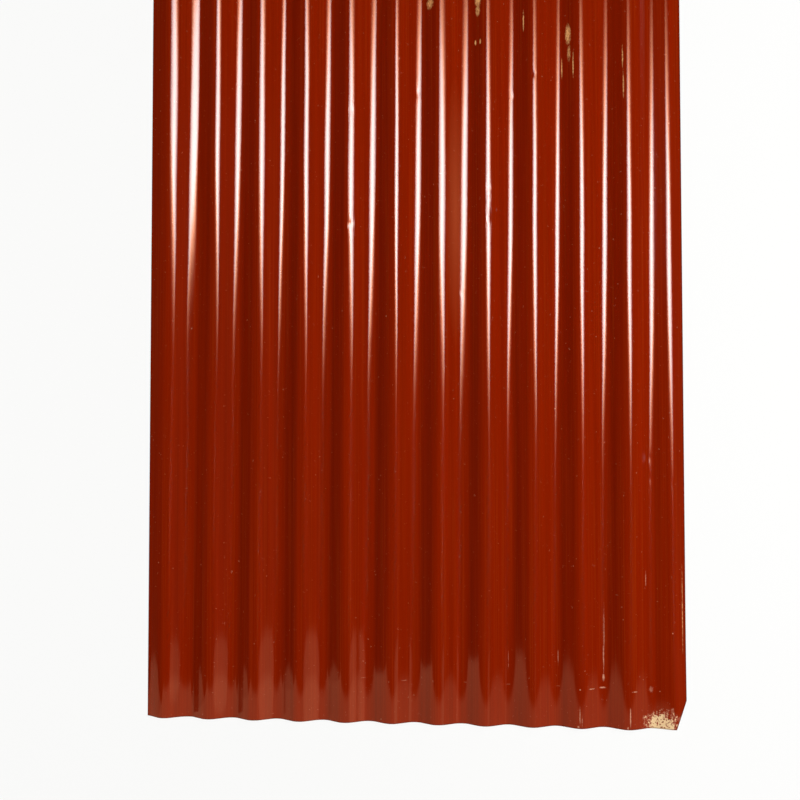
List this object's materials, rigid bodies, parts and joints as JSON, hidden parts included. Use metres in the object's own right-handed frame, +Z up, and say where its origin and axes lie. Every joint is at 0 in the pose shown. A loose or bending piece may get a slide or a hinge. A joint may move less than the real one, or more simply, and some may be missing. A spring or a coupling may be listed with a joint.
{
  "type": "corrugated metal sheet",
  "caption": "Painted steel roofing sheet rolled into round parallel waves, with one edge turned down towards a valley, a low flattened wave at the other and a knocked-off corner.",
  "frame": {"origin": "on the floor, below the middle of the sheet's outline", "axes": "+X across the waves towards the flattened edge wave, +Y along the waves away from the end with the knocked-off corner, +Z up from the floor through the painted face"},
  "size_m": [0.8848, 2, 0.018],
  "materials": {
    "red_paint": "gloss oxide-red factory paint on the top face of galvanised steel, scuffed, and flaked at one corner"
  },
  "bodies": {
    "root": {"corrugated_sheet": "red_paint"}
  },
  "joints": []
}
